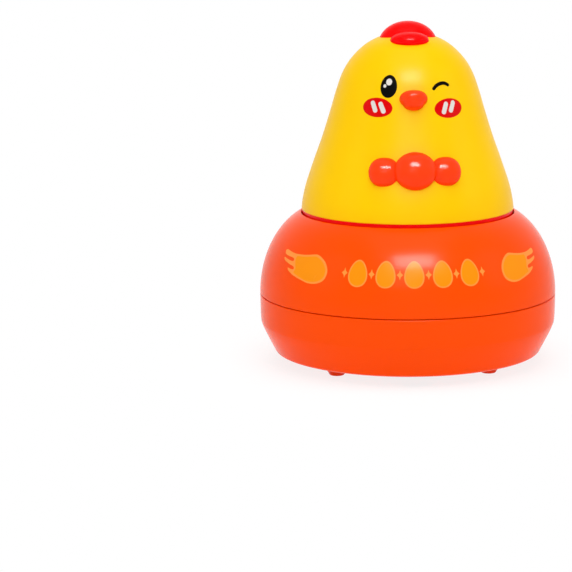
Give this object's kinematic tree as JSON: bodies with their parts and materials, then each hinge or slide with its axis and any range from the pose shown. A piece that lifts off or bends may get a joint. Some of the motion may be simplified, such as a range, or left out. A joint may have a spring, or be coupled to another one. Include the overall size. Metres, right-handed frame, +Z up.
{
  "type": "press-and-go toy",
  "caption": "Round toy chick on a wheeled base: pressing the body and letting go drives the rear wheels through a rack, a one-way clutch and gears.",
  "frame": {"origin": "on the ground under the middle of the round base", "axes": "+Z up, the face and the way it runs are towards -Y, +X is the wheel axle's direction"},
  "size_m": [0.0858, 0.0858, 0.0987],
  "materials": {
    "base_plastic": "semi-gloss orange ABS",
    "body_plastic": "semi-gloss yellow ABS",
    "comb_plastic": "semi-gloss red ABS",
    "trim_plastic": "semi-gloss orange ABS",
    "tyre_rubber": "matt black rubber with cross ribs",
    "hub_plastic": "satin pale grey",
    "gear_plastic": "satin natural nylon",
    "gearbox_plastic": "satin dark grey",
    "steel": "bright zinc"
  },
  "bodies": {
    "base": {"base_lower_shell": "base_plastic", "base_upper_shell": "base_plastic", "base_screw_front": "steel", "base_screw_rear": "steel", "guide_post_left": "steel", "guide_post_right": "steel", "return_spring_left": "steel", "return_spring_right": "steel", "gearbox_plate_left": "gearbox_plastic", "gearbox_plate_right": "gearbox_plastic", "rack_guide": "gearbox_plastic", "gearbox_spacer_1": "gearbox_plastic", "gearbox_spacer_2": "gearbox_plastic", "gearbox_spacer_3": "gearbox_plastic", "gearbox_screw_1": "steel", "gearbox_screw_2": "steel", "gearbox_screw_3": "steel", "gearbox_foot_screw_1": "steel", "gearbox_foot_screw_2": "steel", "gearbox_foot_screw_3": "steel", "gearbox_foot_screw_4": "steel", "pinion_pin": "steel", "compound_pin": "steel", "idler_pin": "steel", "clutch_spring": "steel", "axle_bush_left": "gearbox_plastic", "axle_bush_right": "gearbox_plastic"},
    "press_body": {"body_front_shell": "body_plastic", "body_rear_shell": "body_plastic", "comb_front": "comb_plastic", "comb_rear": "comb_plastic", "beak": "trim_plastic", "bow_tie": "trim_plastic", "press_ring": "gearbox_plastic", "press_rack": "gear_plastic", "rack_screw": "steel", "body_screw_1": "steel", "body_screw_2": "steel", "body_screw_3": "steel", "body_screw_4": "steel"},
    "rack_pinion": {"rack_pinion": "gear_plastic"},
    "clutch_gear": {"clutch_gear": "gear_plastic"},
    "compound_gear": {"compound_gear": "gear_plastic"},
    "idler_gear": {"idler_gear": "gear_plastic"},
    "flywheel": {"flywheel": "steel", "flywheel_shaft": "steel"},
    "wheels": {"axle": "steel", "axle_gear": "gear_plastic", "wheel_hub_left": "hub_plastic", "wheel_hub_right": "hub_plastic", "tyre_left": "tyre_rubber", "tyre_right": "tyre_rubber"}
  },
  "joints": [
    {"name": "body_press", "type": "slide", "parent": "base", "child": "press_body", "axis": [0, 0, -1], "range_m": [0, 0.012], "stiffness_N_per_m": 450, "springref_m": -0.012, "deforming": ["return_spring_left", "return_spring_right"]},
    {"name": "rack_pinion_spin", "type": "hinge", "parent": "base", "child": "rack_pinion", "pos_m": [0, -0.01698, 0.02106], "axis": [1, 0, 0], "range_deg": [0, 172]},
    {"name": "wheel_spin", "type": "hinge", "parent": "base", "child": "wheels", "pos_m": [0, 0.0155, 0.012], "axis": [1, 0, 0], "continuous": true},
    {"name": "idler_spin", "type": "hinge", "parent": "base", "child": "idler_gear", "pos_m": [0, 0.01069, 0.02043], "axis": [1, 0, 0], "continuous": true},
    {"name": "compound_spin", "type": "hinge", "parent": "base", "child": "compound_gear", "pos_m": [0, -0.00349, 0.02344], "axis": [1, 0, 0], "continuous": true},
    {"name": "clutch_gear_spin", "type": "hinge", "parent": "base", "child": "clutch_gear", "pos_m": [0, -0.01698, 0.02106], "axis": [1, 0, 0], "continuous": true},
    {"name": "flywheel_spin", "type": "hinge", "parent": "base", "child": "flywheel", "pos_m": [0, 0.01514, 0.02813], "axis": [1, 0, 0], "continuous": true}
  ],
  "couplings": [
    {"joint": "rack_pinion_spin", "follows": "body_press", "rad_per_m": 250},
    {"joint": "idler_spin", "follows": "wheel_spin", "ratio": -0.71429},
    {"joint": "compound_spin", "follows": "wheel_spin", "ratio": 0.45455},
    {"joint": "clutch_gear_spin", "follows": "wheel_spin", "ratio": -0.18939},
    {"joint": "flywheel_spin", "follows": "wheel_spin", "ratio": 1.25}
  ]
}
